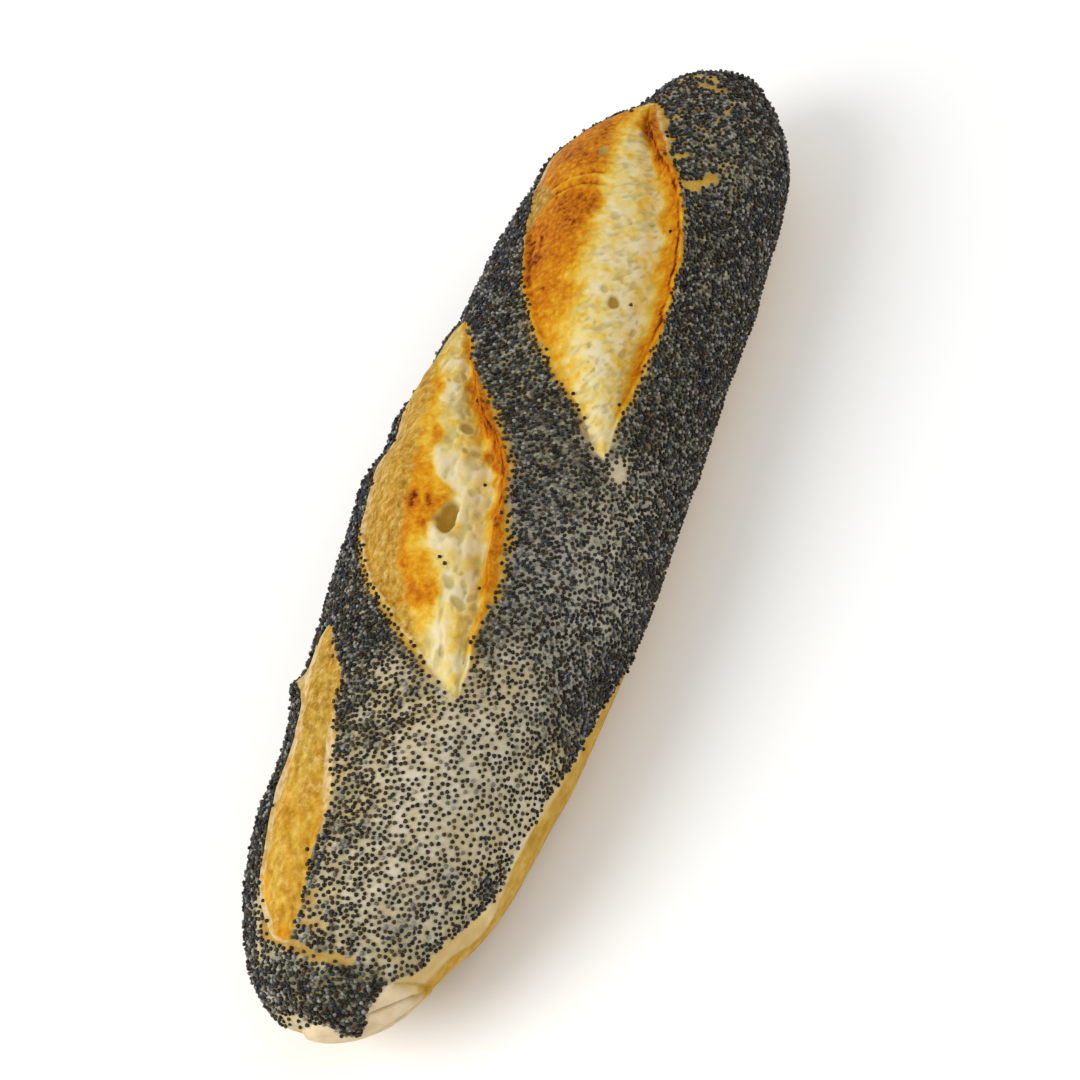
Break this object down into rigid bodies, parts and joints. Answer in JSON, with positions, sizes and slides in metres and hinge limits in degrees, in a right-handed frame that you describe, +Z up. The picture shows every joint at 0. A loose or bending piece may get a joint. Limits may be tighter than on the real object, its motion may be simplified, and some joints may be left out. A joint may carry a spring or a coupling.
{
  "type": "poppy-seed baguette",
  "caption": "Short crusty bread loaf with slanting scores, lifted ears and a coat of poppy seeds, flat underneath.",
  "frame": {"origin": "under the middle of the loaf, on the surface it rests on", "axes": "+X along the loaf towards the end with the widest score, +Y to the side away from the scores' ears, +Z up"},
  "size_m": [0.3, 0.084, 0.0613],
  "materials": {
    "crust": "matte baked crust under poppy seeds"
  },
  "bodies": {
    "root": {"loaf": "crust"}
  },
  "joints": []
}
